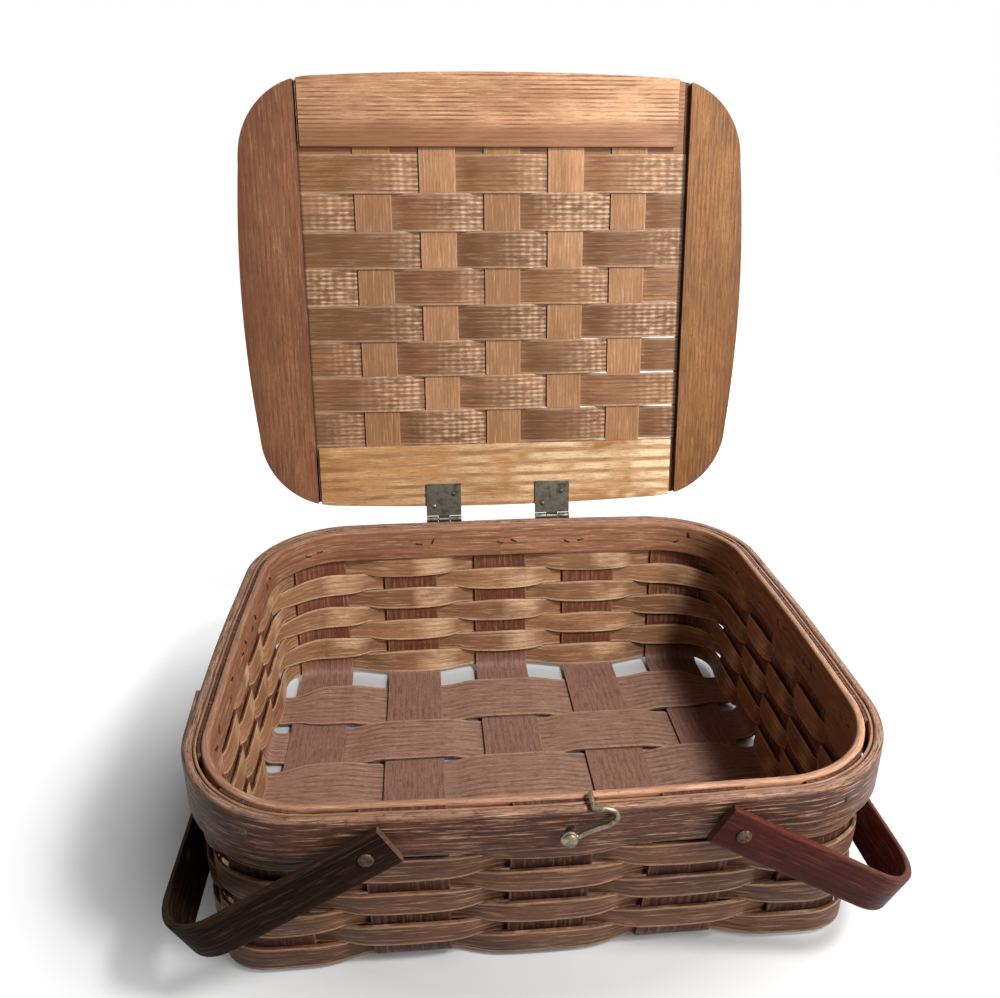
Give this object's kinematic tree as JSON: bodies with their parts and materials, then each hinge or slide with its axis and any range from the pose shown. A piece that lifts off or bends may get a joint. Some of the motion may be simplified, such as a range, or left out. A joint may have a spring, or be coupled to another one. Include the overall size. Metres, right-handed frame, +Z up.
{
  "type": "picnic basket",
  "caption": "Rectangular picnic basket woven of wide wooden splints, with swinging bentwood handles and a hinged, board-framed woven lid standing open.",
  "frame": {"origin": "on the ground, under the middle of the open basket outline", "axes": "+X to the right as seen from the front, +Y to the back where the lid is hinged, +Z up"},
  "size_m": [0.3614, 0.3592, 0.4124],
  "materials": {
    "stake_wood": "aged varnished ash splint, red-brown",
    "weaver_wood": "aged varnished ash splint, tan",
    "rim_wood": "bent ash hoop, dark red-brown, worn on its edges",
    "handle_wood": "bent ash strap, dark mahogany stain",
    "lid_board_wood": "thin flat-sawn board, golden brown",
    "lid_splint_wood": "aged varnished ash splint, mid brown",
    "hinge_steel": "dulled plated steel",
    "latch_nickel": "dulled nickel plate"
  },
  "bodies": {
    "body": {"cross_stake_1": "stake_wood", "cross_stake_2": "stake_wood", "cross_stake_3": "stake_wood", "cross_stake_4": "stake_wood", "cross_stake_5": "stake_wood", "long_stake_1": "stake_wood", "long_stake_2": "stake_wood", "long_stake_3": "stake_wood", "long_stake_4": "stake_wood", "long_stake_5": "stake_wood", "weaver_1": "weaver_wood", "weaver_2": "weaver_wood", "weaver_3": "weaver_wood", "weaver_4": "weaver_wood", "weaver_5": "weaver_wood", "weaver_6": "weaver_wood", "weaver_7": "weaver_wood", "rim_outer_hoop": "rim_wood", "rim_inner_hoop": "rim_wood", "left_handle_front_rivet": "hinge_steel", "left_handle_back_rivet": "hinge_steel", "right_handle_front_rivet": "hinge_steel", "right_handle_back_rivet": "hinge_steel", "left_hinge_rim_leaf": "hinge_steel", "left_hinge_pin": "hinge_steel", "right_hinge_rim_leaf": "hinge_steel", "right_hinge_pin": "hinge_steel", "latch_screw": "latch_nickel"},
    "lid": {"left_hinge_lid_leaf": "hinge_steel", "right_hinge_lid_leaf": "hinge_steel", "lid_inner_right_board": "lid_board_wood", "lid_inner_left_board": "lid_board_wood", "lid_inner_back_board": "lid_board_wood", "lid_inner_front_board": "lid_board_wood", "lid_outer_right_board": "lid_board_wood", "lid_outer_left_board": "lid_board_wood", "lid_outer_back_board": "lid_board_wood", "lid_outer_front_board": "lid_board_wood", "lid_upright_splint_1": "lid_splint_wood", "lid_upright_splint_2": "lid_splint_wood", "lid_upright_splint_3": "lid_splint_wood", "lid_upright_splint_4": "lid_splint_wood", "lid_upright_splint_5": "lid_splint_wood", "lid_row_splint_1": "lid_splint_wood", "lid_row_splint_2": "lid_splint_wood", "lid_row_splint_3": "lid_splint_wood", "lid_row_splint_4": "lid_splint_wood", "lid_row_splint_5": "lid_splint_wood", "lid_row_splint_6": "lid_splint_wood", "lid_row_splint_7": "lid_splint_wood", "lid_row_splint_8": "lid_splint_wood"},
    "left_handle": {"left_handle": "handle_wood"},
    "right_handle": {"right_handle": "handle_wood"},
    "latch_hook": {"latch_hook": "latch_nickel"}
  },
  "joints": [
    {"name": "lid_hinge", "type": "hinge", "parent": "body", "child": "lid", "pos_m": [0, 0.12828, 0.113], "axis": [1, 0, 0], "range_deg": [0, 97.7]},
    {"name": "left_handle", "type": "hinge", "parent": "body", "child": "left_handle", "pos_m": [-0.082, -0.0248, 0.0955], "axis": [0, 1, 0], "range_deg": [0, 149]},
    {"name": "right_handle", "type": "hinge", "parent": "body", "child": "right_handle", "pos_m": [0.082, -0.0248, 0.0955], "axis": [0, -1, 0], "range_deg": [0, 149]},
    {"name": "latch_hook", "type": "hinge", "parent": "body", "child": "latch_hook", "pos_m": [0.005, -0.1768, 0.099], "axis": [0, -1, 0], "range_deg": [0, 65.6]}
  ]
}
